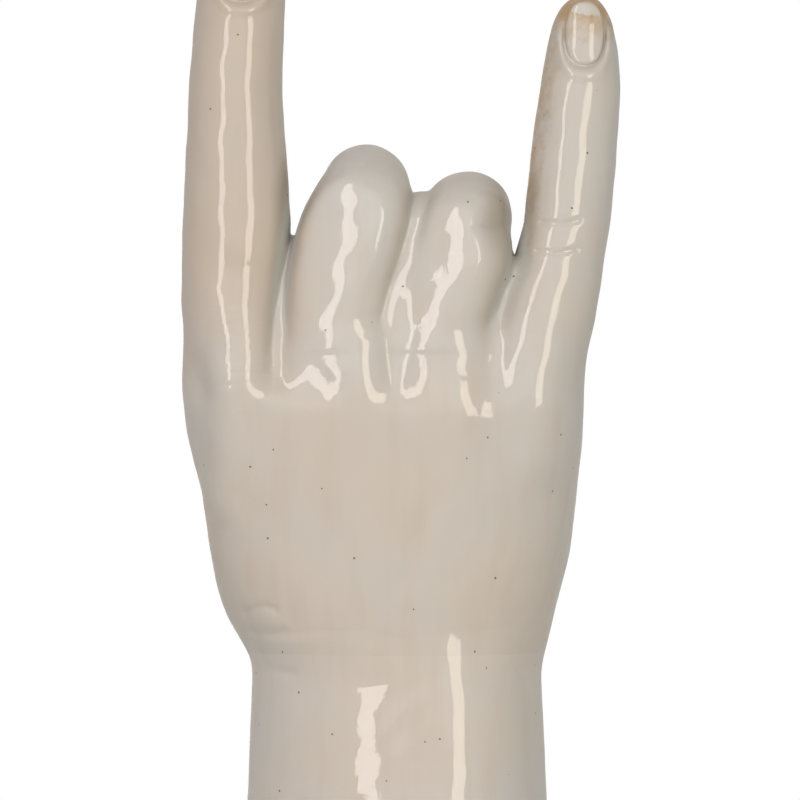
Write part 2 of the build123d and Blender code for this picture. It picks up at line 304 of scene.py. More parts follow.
# how softly the castings are luted together, in millimetres. The fingers part cleanly at their tips
# and run together at their roots
luting = {
    "raisedKnuckle": 3.0, "middleToRing": 3.0, "middleKnuckle": 2.0, "ringKnuckle": 3.0,
    "index": 2.0, "indexRoot": 1.2, "rootTop": 304, "rootHeight": 12,
    "littleHeights": [302, 306, 310, 314], "little": [3.6, 2.0, 1.6, 0.6],
    "palm": 4.0, "web": 1.5, "thumb": 3.0,
}

# what is pressed into the soft clay
creases = {
    # lines: points (x, z) in the front view, width, depth. A depth under zero stands proud
    "back": [
        ([(-38.4, 217.4), (-36.0, 218.6), (-33.4, 219.0), (-31.0, 218.2)], 1.1, 0.55),
        ([(-37.0, 212.6), (-34.4, 212.2), (-31.6, 212.2), (-29.0, 213.0)], 1.2, 0.55),
        ([(-38.6, 204.2), (-33.7, 203.2), (-27.0, 202.2)], 1.4, 0.45),
        ([(-31.0, 209.6), (-25.0, 210.2), (-19.0, 211.0)], 1.9, -0.3),
        ([(9.0, 246.0), (3.2, 233.0), (1.5, 226.0)], 2.8, 0.5),
        ([(10.0, 252.0), (8.6, 236.0), (5.5, 222.0)], 4.5, -0.5),
        ([(29.7, 204.0), (32.4, 197.5), (34.0, 191.0), (34.2, 180.0)], 1.1, 0.35),
        ([(35.0, 313.9), (40.0, 313.4), (44.0, 314.2)], 0.8, 0.35),
        ([(34.0, 306.8), (39.0, 306.2), (43.5, 307.2)], 0.8, 0.35),
    ],
    "palm": [
        ([(-53.0, 299.0), (-41.0, 300.5), (-28.0, 299.0)], 1.0, 0.7),
        ([(-53.0, 326.0), (-41.0, 325.0), (-28.0, 326.0)], 1.0, 0.6),
        ([(-52.0, 357.0), (-40.0, 356.0), (-29.0, 357.0)], 0.9, 0.5),
        ([(27.0, 296.0), (38.0, 298.0), (51.0, 296.5)], 1.0, 0.7),
        ([(31.0, 320.0), (42.0, 319.0), (53.0, 320.5)], 0.9, 0.6),
        ([(34.0, 344.5), (45.0, 343.5), (55.0, 345.0)], 0.8, 0.5),
        ([(44.0, 276.0), (30.0, 272.0), (14.0, 271.0), (0.0, 275.0)], 1.6, 0.7),
        ([(42.0, 258.0), (26.0, 262.0), (8.0, 264.0), (-10.0, 262.0), (-30.0, 264.0)], 1.6, 0.6),
        ([(-8.0, 262.0), (-9.0, 250.0), (-4.0, 236.0), (2.0, 222.0), (4.0, 214.0)], 1.8, 0.9),
        ([(-34.0, 211.0), (-14.0, 208.8), (10.0, 208.6), (32.0, 211.0)], 1.3, 0.8),
        ([(-30.0, 216.0), (-10.0, 214.4), (10.0, 214.2), (28.0, 216.5)], 1.1, 0.5),
    ],
    # shallow dents in the back: x, z, half width, half height, depth
    "dents": [(-15.0, 199.0, 12.0, 5.0, 0.5), (-34.0, 215.6, 4.2, 2.8, -0.45),
              (6.0, 280.8, 8.0, 1.3, 0.35), (-19.0, 280.8, 6.0, 1.3, 0.2),
              (-29.5, 270.5, 6.5, 5.0, -0.9)],
    # the fold where the back of the hand ends over the wrist, and how far the hand overhangs it
    "wristFold": {
        "line": [(-34.0, 211.6), (-27.0, 212.8), (-18.7, 213.5), (-13.0, 213.7), (-8.0, 213.5),
                 (-3.7, 212.3), (2.0, 211.5), (7.5, 212.3), (12.0, 213.2), (20.7, 213.5),
                 (26.0, 214.4)],
        "flare": 0.14, "edge": 0.4, "fade": 9.0, "step": 0.12},
}
nailCut = {
    # depth, width and distance from the plate's edge
    "cuticle": (0.55, 0.5, 0.25),       # the groove round the plate
    "fold": (-0.6, 1.0, 1.7),           # the skin that rises beside it
    "thickness": 2.2, "edgeRound": 0.7, "blend": 0.35,
}


def addNail(clay, p, nail):
    # the plate, the groove round it and the skin that folds up over its root and sides
    along = np.array(nail["along"], float)
    along /= np.linalg.norm(along)
    out = np.array(nail["out"], float)
    out -= along * (out @ along)
    out /= np.linalg.norm(out)
    across = np.cross(along, out)
    offset = p - np.array(nail["at"], float)[:, None]
    u, v, w = across @ offset, along @ offset, out @ offset
    halfWidth, halfLength = nail["half"]
    near = (np.abs(w) < 6) & (np.abs(u) < 1.9 * halfWidth) & (np.abs(v) < 1.9 * halfLength)
    if not near.any():
        return clay
    u, v, w = u[near], v[near], w[near]
    height = w + u**2 / (2 * nail["radius"]) + np.maximum(v, 0) ** 2 / 120
    share = (np.abs(u / halfWidth) ** 2.5 + np.abs(v / halfLength) ** 2.5) ** 0.4
    edge = (share - 1) * halfWidth
    root = np.clip(0.9 - 1.3 * v / halfLength, 0, 1)            # the free edge has no skin round it
    facing = np.clip(2.0 - np.abs(height) / 1.6, 0, 1)
    skin = clay[near]
    for depth, width, out in (nailCut["cuticle"], nailCut["fold"]):
        skin = skin + facing * root * depth * np.exp(-(((edge - out) / width) ** 2))
    plate = trim(height, np.maximum(edge, -height - nailCut["thickness"]), nailCut["edgeRound"])
    clay[near] = join(skin, plate, nailCut["blend"])
    return clay


def waves(p):
    # the slow unevenness that hand finishing and thick glaze leave, in millimetres
    x, y, z = p
    swell = 0.16 * np.sin(x / 5.3 + 0.7 * np.sin(z / 9.1)) * np.sin(z / 8.7 + y / 11.0 + 1.3)
    swell += 0.10 * np.sin(x / 2.9 + z / 6.1 + 2.0) * np.sin(y / 4.3 - z / 5.2)
    swell += 0.05 * np.sin(x / 1.9 - z / 2.7) * np.sin(z / 3.4 + y / 2.3)
    return swell * np.interp(z, [196, 216], [0.5, 1])


def raised(p, finger, table):
    straight = shaft(p, table, finger["lean"], finger["thickness"])
    return join(straight, limb(p, finger["knuckle"]), luting["raisedKnuckle"])


def folded(p, finger):
    return trim(limb(p, finger["curve"]), limb(p, finger["flat"], 40), flatBlend)


def handParts(p):
    # each casting on its own, before they are luted together
    look = forearmAndPalm
    body = ovalBody(p, bodyTable)
    roof = p[2] - look["roof"]["height"] - look["roof"]["tilt"] * p[1]
    body = trim(body, roof, look["roof"]["blend"])
    body = trim(body, limb(p, look["flat"], 60), look["flatBlend"])
    body = join(body, limb(p, look["thumbMound"]), look["thumbMoundBlend"])
    body = join(body, limb(p, look["heelMound"]), look["heelMoundBlend"])
    index, little = raised(p, indexFinger, indexTable), raised(p, littleFinger, littleTable)
    middle = folded(p, middleFinger)
    ring = trim(folded(p, ringFinger), limb(p, ringFinger["side"], 40), ringFinger["sideBlend"])
    return body, index, middle, ring, little, limb(p, thumb["curve"])


def smoothHand(p):
    body, index, middle, ring, little, thumbLimb = handParts(p)
    fingers = join(middle, ring, luting["middleToRing"])
    fingers = join(fingers, limb(p, middleFinger["knuckle"]), luting["middleKnuckle"])
    fingers = join(fingers, limb(p, ringFinger["knuckle"]), luting["ringKnuckle"])
    root = np.clip((luting["rootTop"] - p[2]) / luting["rootHeight"], 0, 1)
    fingers = join(fingers, index, luting["index"] + luting["indexRoot"] * root)
    fingers = join(fingers, little, np.interp(p[2], luting["littleHeights"], luting["little"]))
    fingers = join(fingers, body, luting["palm"])
    for finger in (indexFinger, middleFinger, littleFinger):
        fingers = join(fingers, limb(p, finger["web"]), luting["web"])
    return join(fingers, thumbLimb, luting["thumb"])


def hand(p):
    # the whole hand with everything that is pressed into it
    clay = smoothHand(p) + waves(p)
    x, y, z = p
    back, palm = np.clip(-y / 5 - 1, 0, 1), np.clip(y / 5, 0, 1)
    for lines, face in ((creases["back"], back), (creases["palm"], palm)):
        for line, width, depth in lines:
            clay += face * depth * np.exp(-((lineDistance(x, z, line) / width) ** 2))
    for acrossAt, upAt, width, height, depth in creases["dents"]:
        clay += back * depth * np.exp(-(((x - acrossAt) / width) ** 2) - ((z - upAt) / height) ** 2)
    fold = creases["wristFold"]
    line = np.array(fold["line"])
    above = z - np.interp(x, line[:, 0], line[:, 1])
    ends = np.clip((x + 36) / 6, 0, 1) * np.clip((30 - x) / 10, 0, 1)
    over = np.maximum(above, 0)
    lip = fold["flare"] * over + fold["step"] * (0.5 + 0.5 * np.tanh(above / fold["edge"]))
    clay -= back * ends * lip * np.exp(-over / fold["fade"])
    for finger in (indexFinger, littleFinger, thumb, middleFinger, ringFinger):
        clay = addNail(clay, p, finger["nail"])
    return clay


# wrapping the clay in a mesh
def inPieces(shape, points, piece=400000):
    return np.concatenate([shape(points[:, i:i + piece]) for i in range(0, points.shape[1], piece)])


def wrap(shape, low, high, cell):
    # walks the box in cubes and lays one vertex in each cube that the surface crosses
    block = 8
    low = np.array(low, float)
    blocks = np.ceil((np.array(high) - low) / (cell * block)).astype(int)
    count = blocks * block
    starts = np.indices(blocks).reshape(3, -1) * block
    centres = low[:, None] + (starts + block / 2 - 0.5) * cell
    rough = inPieces(shape, centres)
    values = np.repeat(np.repeat(np.repeat(rough.reshape(blocks), block, 0), block, 1), block, 2)
    near = np.abs(rough) < block * cell * 0.95 + 1.0
    within = np.indices((block,) * 3).reshape(3, -1)
    cells = (starts[:, near][:, :, None] + within[:, None, :]).reshape(3, -1)
    values[tuple(cells)] = inPieces(shape, low[:, None] + cells * cell)
    inside = values < 0
    corners = np.indices((2, 2, 2)).reshape(3, -1).T
    number = sum(inside[i:count[0] - 1 + i, j:count[1] - 1 + j, k:count[2] - 1 + k].astype(np.int8)
                 for i, j, k in corners)
    crossed = np.argwhere((number > 0) & (number < 8)).T
    index = np.full(number.shape, -1)
    index[tuple(crossed)] = np.arange(crossed.shape[1])
    total, hits = np.zeros(crossed.shape), np.zeros(crossed.shape[1])
    for a in corners:
        for axis in range(3):
            if a[axis] == 0:
                b = a.copy()
                b[axis] = 1
                va = values[tuple(crossed + a[:, None])]
                vb = values[tuple(crossed + b[:, None])]
                cut = (va < 0) != (vb < 0)
                share = np.where(cut, va / np.where(cut, va - vb, 1), 0)
                spot = a[:, None] + (b - a)[:, None] * share
                total += spot * cut
                hits += cut
    points = low[:, None] + (crossed + total / hits) * cell
    faces = []
    for axis in range(3):
        across, up = (axis + 1) % 3, (axis + 2) % 3
        first = np.take(inside, range(count[axis] - 1), axis)
        second = np.take(inside, range(1, count[axis]), axis)
        edges = np.argwhere(first != second).T
        keep = (edges[across] > 0) & (edges[up] > 0) & (edges[across] < count[across] - 1) \
            & (edges[up] < count[up] - 1)
        edges = edges[:, keep]
        outward = first[tuple(edges)]
        around = []
        for stepAcross, stepUp in ((-1, -1), (0, -1), (0, 0), (-1, 0)):
            spot = edges.copy()
            spot[across] += stepAcross
            spot[up] += stepUp
            around.append(index[tuple(spot)])
        quads = np.array(around).T
        quads[~outward] = quads[~outward][:, ::-1]
        faces.append(quads)
    return points, np.vstack(faces)


def slopeOf(shape, points, step):
    # the value and the way out of the surface at each point
    tips = np.array([(1, -1, -1), (-1, -1, 1), (-1, 1, -1), (1, 1, 1)], float)
    value, slope = 0, 0
    for tip in tips:
        reading = inPieces(shape, points + tip[:, None] * step)
        value = value + reading / 4
        slope = slope + tip[:, None] * reading / (4 * step)
    return value, slope


def settle(shape, points, rounds=3, level=False):
    # draws the vertices onto the surface; level keeps their heights
    for _ in range(rounds):
        value, slope = slopeOf(shape, points, 0.1)
        if level:
            slope = slope * np.array([1, 1, 0])[:, None]
        size = np.maximum((slope**2).sum(0), 0.05)
        points = points - slope * np.clip(value / size, -1.5, 1.5)
    return points


def normalsOf(shape, points, step):
    slope = slopeOf(shape, points, step)[1]
    return slope / np.maximum(np.sqrt((slope**2).sum(0)), 1e-6)


def refine(points, faces, owners, chosen):
    # splits each chosen square in four, and its neighbours into triangles that meet the new points;
    # a triangle is a square whose last corner is there twice
    starts, ends = faces.ravel(), np.roll(faces, -1, 1).ravel()
    keys = np.minimum(starts, ends) * points.shape[1] + np.maximum(starts, ends)
    split = np.unique(keys[np.repeat(chosen, 4) & (starts != ends)])
    middles = (points[:, split // points.shape[1]] + points[:, split % points.shape[1]]) / 2
    spot = np.minimum(np.searchsorted(split, keys), len(split) - 1)
    onEdge = np.where(split[spot] == keys, points.shape[1] + spot, -1).reshape(-1, 4)
    touched = (onEdge >= 0).any(1)
    hubs = points[:, faces[touched]].mean(2)
    hub = np.full(len(faces), -1)
    hub[touched] = points.shape[1] + len(split) + np.arange(touched.sum())
    newFaces, newOwners = [faces[~touched]], [owners[~touched]]
    full = (onEdge >= 0).all(1)
    for i in range(4):
        corner, after, before = faces[:, i], onEdge[:, i], onEdge[:, i - 1]
        nextCorner = faces[:, (i + 1) % 4]
        newFaces.append(np.column_stack([corner, after, hub, before])[full])
        newOwners.append(owners[full])
        whole = touched & ~full & (after < 0) & (corner != nextCorner)
        halved = touched & ~full & (after >= 0)
        newFaces.append(np.column_stack([hub, corner, nextCorner, nextCorner])[whole])
        newFaces.append(np.column_stack([hub, corner, after, after])[halved])
        newFaces.append(np.column_stack([hub, after, nextCorner, nextCorner])[halved])
        newOwners += [owners[whole], owners[halved], owners[halved]]
    return np.hstack([points, middles, hubs]), np.vstack(newFaces), np.concatenate(newOwners)


def turning(points, faces):
    # how far the surface turns across each face, in degrees
    out = normalsOf(hand, points, fineStep)[:, faces]
    return np.degrees(np.arccos(np.clip((out[:, :, 0] * out[:, :, 2]).sum(0), -1, 1)))


print("clay: wrapping the hand")
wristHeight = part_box("palm")[0][2] / millimetre
points, quads = wrap(hand, (-57, -36, wristHeight - 4), (57, 40, 396), handCell)
points = settle(hand, points, 2)
print("clay:", points.shape[1], "vertices")

# which casting each face belongs to
pieceNames = ["forearm", "palm", "index_finger", "middle_finger", "ring_finger", "little_finger",
              "thumb"]
# heights where the fingers begin, the palm's top at the back, and the plane where the thumb begins
seams = {"roots": {"index_finger": 284.0, "middle_finger": 286.0, "ring_finger": 284.0,
                   "little_finger": 282.0},
         "palmTop": 290.0, "backDepth": 3.0, "thumbAt": (-33.0, 12.0, 257.0),
         "thumbWay": (0.5, 0.5, 0.7), "easing": 12}


def ownerOf(p):
    # each point goes to the nearest casting that reaches there: 0 is the forearm, 1 the palm
    distances = np.array(handParts(p))
    z, atBack = p[2], p[1] < seams["backDepth"]
    for order, name in enumerate(pieceNames[2:6], 1):
        below = z < seams["roots"][name]
        # the folded fingers' tips hang below their own roots, on the palm's side
        distances[order, below & atBack if name in ("middle_finger", "ring_finger") else below] = 99
    distances[0, (z > seams["palmTop"]) & atBack] = 98
    thumbRoot = sum((p[i] - seams["thumbAt"][i]) * seams["thumbWay"][i] for i in range(3))
    distances[5, thumbRoot < 0] = 99
    owner = distances.argmin(0) + 1
    owner[z < wristHeight] = 0
    return owner


centres = points[:, quads].mean(2)
owners = ownerOf(centres)


def easeSeams(points, quads, owners, rounds):
    # evens out the lines between castings, which start as steps of the cubes
    edges = np.sort(np.vstack([quads[:, [i, (i + 1) % 4]] for i in range(4)]), 1)
    faceOfEdge = np.tile(np.arange(len(quads)), 4)
    order = np.lexsort((edges[:, 1], edges[:, 0]))
    edges, faceOfEdge = edges[order], faceOfEdge[order]
    same = (edges[1:] == edges[:-1]).all(1)
    first = np.flatnonzero(same)
    seam = edges[first[owners[faceOfEdge[first]] != owners[faceOfEdge[first + 1]]]]
    for _ in range(rounds):
        total, hits = np.zeros(points.shape), np.zeros(points.shape[1])
        for a, b in (seam.T, seam.T[::-1]):
            for axis in range(3):
                np.add.at(total[axis], a, points[axis, b])
            np.add.at(hits, a, 1)
        onSeam = hits == 2
        points[:, onSeam] = 0.5 * points[:, onSeam] + 0.5 * total[:, onSeam] / hits[onSeam]
    return points, np.unique(seam)


points, seamPoints = easeSeams(points, quads, owners, seams["easing"])
wristRing = seamPoints[np.abs(points[2, seamPoints] - wristHeight) < 2.0]
points[2, wristRing] = wristHeight
points[:, seamPoints] = settle(hand, points[:, seamPoints], 2)
points[2, wristRing] = wristHeight
points[:, wristRing] = settle(hand, points[:, wristRing], 3, level=True)
# finer squares where the clay turns sharply: nails, folds and the bottoms of the grooves
for turn in finerWhere:
    square = quads[:, 2] != quads[:, 3]
    chosen = square & (turning(points, quads) > turn)
    chosen &= (points[2, quads] > wristHeight + 2).all(1) & (owners > 0)
    before = points.shape[1]
    points, quads, owners = refine(points, quads, owners, chosen)
    points[:, before:] = settle(hand, points[:, before:], 2)
    print("clay:", points.shape[1], "vertices after refining")
normals = normalsOf(hand, points, fineStep)
innerNormals = normalsOf(smoothHand, points, broadStep)
# beside a narrow slit a full wall would come out on the other side, so there it is thin
enough = (innerNormals * normals).sum(0) > 0.5
for depth, inside in wall["soundings"]:
    enough &= inPieces(hand, points - innerNormals * depth) < inside
innerSteps = np.where(enough, innerNormals * wall["thickness"], normals * wall["least"])

# what the glaze did at each point, and where shade is painted, from 0 to 1. Pooling and groove:
# how deep it sits in a valley or a pressed line; the pooling is glaze lying thick, and the groove
# value places painted shade in the pressed lines. Between: how near it is to another finger, for
# painted shade between the fingers. Burnt: on the little finger, round the tip and down the side
# that faces the others
burning = {"tip": (45.0, -9.0, 372.5), "tipReach": 13.0, "tipMost": 1.55,
           "sideAt": (34.3, 285.0), "sideway": (-0.991, 0.132), "sideFrom": 2.0, "sideWidth": 6.0,
           "sideBottom": 292.0, "sideRise": 30.0, "sideMost": 0.7, "skin": 1.8}
# how far each measure reaches: the pooled glaze, and the painted shade in pressed lines and between
# the fingers
glazeAndShadeReach = {"pooling": 4.0, "paintedShadeInCreases": 1.2, "between": 10.0}


def buried(shape, p, out, reach):
    # 0 on open, flat clay, and towards 1 where there is clay within reach of the surface
    return 1 - inPieces(shape, p + out * reach) / reach


def glazeAndShadeAt(p, out, innerOut):
    tipDistance = np.sqrt(((p - np.array(burning["tip"])[:, None]) ** 2).sum(0))
    burntTip = np.clip(burning["tipMost"] - tipDistance / burning["tipReach"], 0, 1)
    (acrossAt, upAt), (across, up) = burning["sideAt"], burning["sideway"]
    aside = up * (p[2] - upAt) + across * (p[0] - acrossAt)
    burntSide = np.clip((aside - burning["sideFrom"]) / burning["sideWidth"], 0, 1) \
        * np.clip((p[2] - burning["sideBottom"]) / burning["sideRise"], 0, 1) * burning["sideMost"]
    onLittle = inPieces(lambda q: shaft(q, littleTable, littleFinger["lean"],
                                        littleFinger["thickness"]), p)
    return {
        "pooling": buried(smoothHand, p, innerOut, glazeAndShadeReach["pooling"]),
        # painted shade, in the pressed lines and between the fingers, from the next two values
        "paintedShadeInCreases": buried(hand, p, out, glazeAndShadeReach["paintedShadeInCreases"]),
        "between": buried(smoothHand, p, innerOut, glazeAndShadeReach["between"]),
        "burnt": np.maximum(burntTip, burntSide) * (onLittle < burning["skin"]),
    }


glazeAndShadeValues = glazeAndShadeAt(points, normals, innerNormals)
print("clay: glaze values at", len(glazeAndShadeValues["burnt"]), "vertices")


# materials
def toLinear(code):
    # sRGB hex to the linear colour that the nodes take
    values = [int(code[i:i + 2], 16) / 255 for i in (1, 3, 5)]
    return tuple(v / 12.92 if v <= 0.04045 else ((v + 0.055) / 1.055) ** 2.4 for v in values) + (1,)


def addNode(tree, kind, settings=None, links=None):
    # adds a node; settings are its attributes or socket values, links tell where inputs come from
    node = tree.nodes.new(kind)
    for name, value in (settings or {}).items():
        if isinstance(name, str) and hasattr(node, name):
            setattr(node, name, value)
        else:
            node.inputs[name].default_value = value
    for name, source in (links or {}).items():
        tree.links.new(source, node.inputs[name])
    return node


def newMaterial(name, colours):
    # the material, its tree, its colours and the place on the piece that its patterns follow
    material = bpy.data.materials.new(name)
    material.use_nodes = True
    tree = material.node_tree
    tree.nodes.clear()
    place = addNode(tree, "ShaderNodeTexCoord").outputs["Object"]
    return material, tree, {label: toLinear(code) for label, code in colours.items()}, place


def perMillimetre(size):
    # noise and Voronoi scales are per metre; size is what one cell of the pattern measures
    return 1000 / size


def layOver(tree, under, colour, mask, start, full, most=1.0):
    # a colour laid over another: none where the mask is at start, most of it where it is at full
    share = addNode(tree, "ShaderNodeMapRange",
                    {"From Min": start, "From Max": full, "To Max": most}, {"Value": mask})
    mixed = addNode(tree, "ShaderNodeMix", {"data_type": "RGBA", 7: colour},
                    {0: share.outputs[0], 6: under})
    return mixed.outputs[2]


glazeLook = {
    # the colour used between the fingers and the deep pool colour are painted shade
    "warm": "#c5bdb2", "cool": "#c1bfb9", "thin": "#bbab99", "pool": "#b9bbb6",
    "creaseShadeColour": "#9b938c", "between": "#8f8573", "stain": "#a8823f", "pinhole": "#4a3f34",
}


def makeGlaze():
    # stoneware under a clear, thick gloss glaze, dipped and fired: mirror-sharp lights on top, with
    # a soft greige body below that cools where the glaze has pooled and browns where it is thin,
    # and painted shade that darkens it between the fingers and in the pressed lines
    material, tree, look, place = newMaterial("glossyGreigeGlazeWithPaintedShade", glazeLook)
    clouds = addNode(tree, "ShaderNodeTexNoise", {"Scale": perMillimetre(38), "Detail": 4.0},
                     {"Vector": place})
    cloudRange = addNode(tree, "ShaderNodeMapRange", {"From Min": 0.32, "From Max": 0.62},
                         {"Value": clouds.outputs["Fac"]})
    body = addNode(tree, "ShaderNodeMix", {"data_type": "RGBA", 6: look["cool"], 7: look["warm"]},
                   {0: cloudRange.outputs[0]})
    # runs of thinner glaze down the piece, a few millimetres apart
    drawnOut = addNode(tree, "ShaderNodeMapping", {"Scale": (1, 1, 0.14)}, {"Vector": place})
    runs = addNode(tree, "ShaderNodeTexNoise", {"Scale": perMillimetre(5), "Detail": 2.0},
                   {"Vector": drawnOut.outputs[0]})
    colour = layOver(tree, body.outputs[2], look["thin"], runs.outputs["Fac"], 0.46, 0.74, 0.26)
    # the fore finger left the bucket last, so the glaze is thin on it
    apart = addNode(tree, "ShaderNodeSeparateXYZ", {}, {0: place})
    aside = addNode(tree, "ShaderNodeMapRange", {"From Min": -0.023, "From Max": -0.034},
                    {"Value": apart.outputs[0]})
    upwards = addNode(tree, "ShaderNodeMapRange", {"From Min": 0.268, "From Max": 0.305},
                      {"Value": apart.outputs[2]})
    thinShare = addNode(tree, "ShaderNodeMath", {"operation": "MULTIPLY"},
                        {0: aside.outputs[0], 1: upwards.outputs[0]})
    colour = layOver(tree, colour, look["thin"], thinShare.outputs[0], 0, 1, 0.55)
    # painted shade darkens it between the fingers; in the grooves the glaze lies thick and cool,
    # and painted shade darkens the pressed lines
    glazeAndShade = {label: addNode(tree, "ShaderNodeAttribute", {"attribute_name": label}).outputs["Fac"]
             for label in ("between", "pooling", "paintedShadeInCreases", "burnt")}
    colour = layOver(tree, colour, look["between"], glazeAndShade["between"], 0.12, 0.8, 0.5)
    colour = layOver(tree, colour, look["pool"], glazeAndShade["pooling"], 0.2, 0.65, 0.75)
    colour = layOver(tree, colour, look["creaseShadeColour"], glazeAndShade["paintedShadeInCreases"], 0.25, 0.9, 0.35)
    # the little finger's tip and one side, where the glaze burnt thin and brown, in flecks
    flecks = addNode(tree, "ShaderNodeTexNoise",
                     {"Scale": perMillimetre(2.6), "Detail": 5.0, "Roughness": 0.62},
                     {"Vector": place})
    ragged = addNode(tree, "ShaderNodeMath", {"operation": "MULTIPLY_ADD", 1: 1.3, 2: -0.65},
                     {0: flecks.outputs["Fac"]})
    burntRagged = addNode(tree, "ShaderNodeMath", {"operation": "ADD"},
                          {0: glazeAndShade["burnt"], 1: ragged.outputs[0]})
    colour = layOver(tree, colour, look["stain"], burntRagged.outputs[0], 0.25, 1.0, 0.75)
    # pinholes half a millimetre wide, two or three centimetres apart
    holes = addNode(tree, "ShaderNodeTexVoronoi", {"Scale": perMillimetre(6.5), "Randomness": 1.0},
                    {"Vector": place})
    colour = layOver(tree, colour, look["pinhole"], holes.outputs["Distance"], 0.048, 0.034, 0.9)
    # the gloss is grainy at half a millimetre, and never fires dead flat
    grain = addNode(tree, "ShaderNodeTexNoise", {"Scale": perMillimetre(0.5), "Detail": 2.0},
                    {"Vector": place})
    gloss = addNode(tree, "ShaderNodeMapRange",
                    {"From Min": 0.3, "From Max": 0.7, "To Min": 0.52, "To Max": 0.78},
                    {"Value": grain.outputs["Fac"]})
    # the fired skin shines less where it is seen edge on
    edgeOn = addNode(tree, "ShaderNodeLayerWeight", {"Blend": 0.5})
    edgeRange = addNode(tree, "ShaderNodeMapRange",
                        {"From Min": 0.3, "From Max": 0.85, "To Min": 1.0, "To Max": 0.12},
                        {"Value": edgeOn.outputs["Facing"]})
    coat = addNode(tree, "ShaderNodeMath", {"operation": "MULTIPLY"},
                   {0: gloss.outputs[0], 1: edgeRange.outputs[0]})
    peel = addNode(tree, "ShaderNodeTexNoise", {"Scale": perMillimetre(1.4), "Detail": 1.0},
                   {"Vector": place})
    bump = addNode(tree, "ShaderNodeBump", {"Strength": 0.06, "Distance": 0.0003},
                   {"Height": peel.outputs["Fac"]})
    shader = addNode(tree, "ShaderNodeBsdfPrincipled",
                     {"Roughness": 0.5, "IOR": 1.5, "Coat Roughness": 0.015, "Coat IOR": 1.5,
                      "Specular IOR Level": 0.1},
                     {"Base Color": colour, "Coat Weight": coat.outputs[0],
                      "Normal": bump.outputs[0], "Coat Normal": bump.outputs[0]})
    addNode(tree, "ShaderNodeOutputMaterial", {}, {0: shader.outputs[0]})
    return material


glaze = makeGlaze()

clayLook = {"pale": "#cdbda2", "dark": "#a8937a", "speck": "#6d5644"}


def makeBareClay():
    # stoneware left bare where the foot stands in the kiln, wiped with a sponge and fired: dry,
    # matt and toasted, with fine grit and iron specks
    material, tree, look, place = newMaterial("bareStonewareSpongedAndFired", clayLook)
    clouds = addNode(tree, "ShaderNodeTexNoise", {"Scale": perMillimetre(9), "Detail": 4.0},
                     {"Vector": place})
    body = addNode(tree, "ShaderNodeMix", {"data_type": "RGBA", 6: look["pale"], 7: look["dark"]},
                   {0: clouds.outputs["Fac"]})
    specks = addNode(tree, "ShaderNodeTexVoronoi", {"Scale": perMillimetre(2.4)}, {"Vector": place})
    specked = layOver(tree, body.outputs[2], look["speck"], specks.outputs["Distance"],
                      0.13, 0.08, 0.8)
    grit = addNode(tree, "ShaderNodeTexNoise", {"Scale": perMillimetre(0.6), "Detail": 3.0},
                   {"Vector": place})
    bump = addNode(tree, "ShaderNodeBump", {"Strength": 0.5, "Distance": 0.0003},
                   {"Height": grit.outputs["Fac"]})
    shader = addNode(tree, "ShaderNodeBsdfPrincipled",
                     {"Roughness": 0.85, "IOR": 1.5, "Specular IOR Level": 0.3},
                     {"Base Color": specked, "Normal": bump.outputs[0]})
    addNode(tree, "ShaderNodeOutputMaterial", {}, {0: shader.outputs[0]})
    return material


bareClay = makeBareClay()

# the lighter hair colour is a painted sheen
feltLook = {"wool": "#8b8278", "shade": "#6f675f", "hairSheen": "#aaa198"}


def makeFelt():
    # grey wool felt, pressed: matt, cloudy, with short hairs lying every way, each painted lighter
    # as a painted sheen where the hairs would catch the light
    material, tree, look, place = newMaterial("woolFeltPressed", feltLook)
    clouds = addNode(tree, "ShaderNodeTexNoise", {"Scale": perMillimetre(6), "Detail": 4.0},
                     {"Vector": place})
    body = addNode(tree, "ShaderNodeMix", {"data_type": "RGBA", 6: look["wool"], 7: look["shade"]},
                   {0: clouds.outputs["Fac"]})
    warp = addNode(tree, "ShaderNodeTexNoise", {"Scale": perMillimetre(2.2), "Detail": 2.0},
                   {"Vector": place})
    bent = addNode(tree, "ShaderNodeMix", {"data_type": "RGBA", "blend_type": "ADD", 0: 0.004},
                   {6: place, 7: warp.outputs["Color"]})
    hairs = addNode(tree, "ShaderNodeTexVoronoi",
                    {"feature": "DISTANCE_TO_EDGE", "Scale": perMillimetre(0.8)},
                    {"Vector": bent.outputs[2]})
    hairRange = addNode(tree, "ShaderNodeMapRange",
                        {"From Min": 0.12, "From Max": 0.0, "To Max": 0.8},
                        {"Value": hairs.outputs["Distance"]})
    # painted sheen: every hair is painted lighter, as if it caught the light
    sheenedHairs = addNode(tree, "ShaderNodeMix", {"data_type": "RGBA", 7: look["hairSheen"]},
                    {0: hairRange.outputs[0], 6: body.outputs[2]})
    bump = addNode(tree, "ShaderNodeBump", {"Strength": 0.6, "Distance": 0.0003},
                   {"Height": hairRange.outputs[0]})
    shader = addNode(tree, "ShaderNodeBsdfPrincipled",
                     {"Roughness": 0.95, "IOR": 1.45, "Specular IOR Level": 0.1,
                      "Sheen Weight": 0.35, "Sheen Roughness": 0.5},
                     {"Base Color": sheenedHairs.outputs[2], "Normal": bump.outputs[0]})
    addNode(tree, "ShaderNodeOutputMaterial", {}, {0: shader.outputs[0]})
    return material


felt = makeFelt()
print("materials: glaze, bare clay and felt")


# castings as closed shells
def faceNormals(points, faces):
    corner = points[faces]
    out = np.cross(corner[:, 2] - corner[:, 0], corner[:, 3] - corner[:, 1])
    return out / np.maximum(np.linalg.norm(out, axis=1, keepdims=True), 1e-12)


